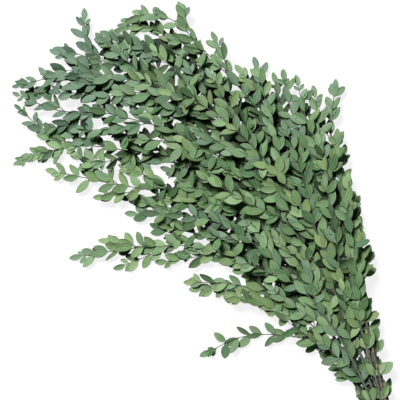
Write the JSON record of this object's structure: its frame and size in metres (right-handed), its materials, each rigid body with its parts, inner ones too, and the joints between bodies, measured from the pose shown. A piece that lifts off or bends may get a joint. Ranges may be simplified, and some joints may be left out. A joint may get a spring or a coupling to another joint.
{
  "type": "preserved eucalyptus bunch",
  "caption": "Bunch of preserved small-leaved eucalyptus lying flat, its leafy stems gathered by an elastic band near the cut ends and arching out to one side.",
  "frame": {"origin": "on the surface that the bunch lies on, under the middle of the band", "axes": "+Z up from the surface, +Y from the band along the stems, +X to the right seen from above with +Y up, so the stems arch over towards -X"},
  "size_m": [0.5611, 0.7057, 0.0733],
  "materials": {
    "foliage": "matt grey-green preserved leaf",
    "bark": "dry grey-brown bark",
    "band": "natural tan rubber"
  },
  "bodies": {
    "root": {"leafy_stem_a": "foliage", "leafy_stem_b": "foliage", "leafy_stem_c": "foliage", "leafy_stem_d": "foliage", "leafy_stem_e": "foliage", "leafy_stem_f": "foliage", "leafy_stem_g": "foliage", "leafy_stem_h": "foliage", "leafy_stem_i": "foliage", "leafy_stem_j": "foliage", "leafy_stem_k": "foliage", "leafy_stem_l": "foliage", "leafy_stem_m": "foliage", "leafy_stem_n": "foliage", "elastic_band": "band"}
  },
  "joints": []
}
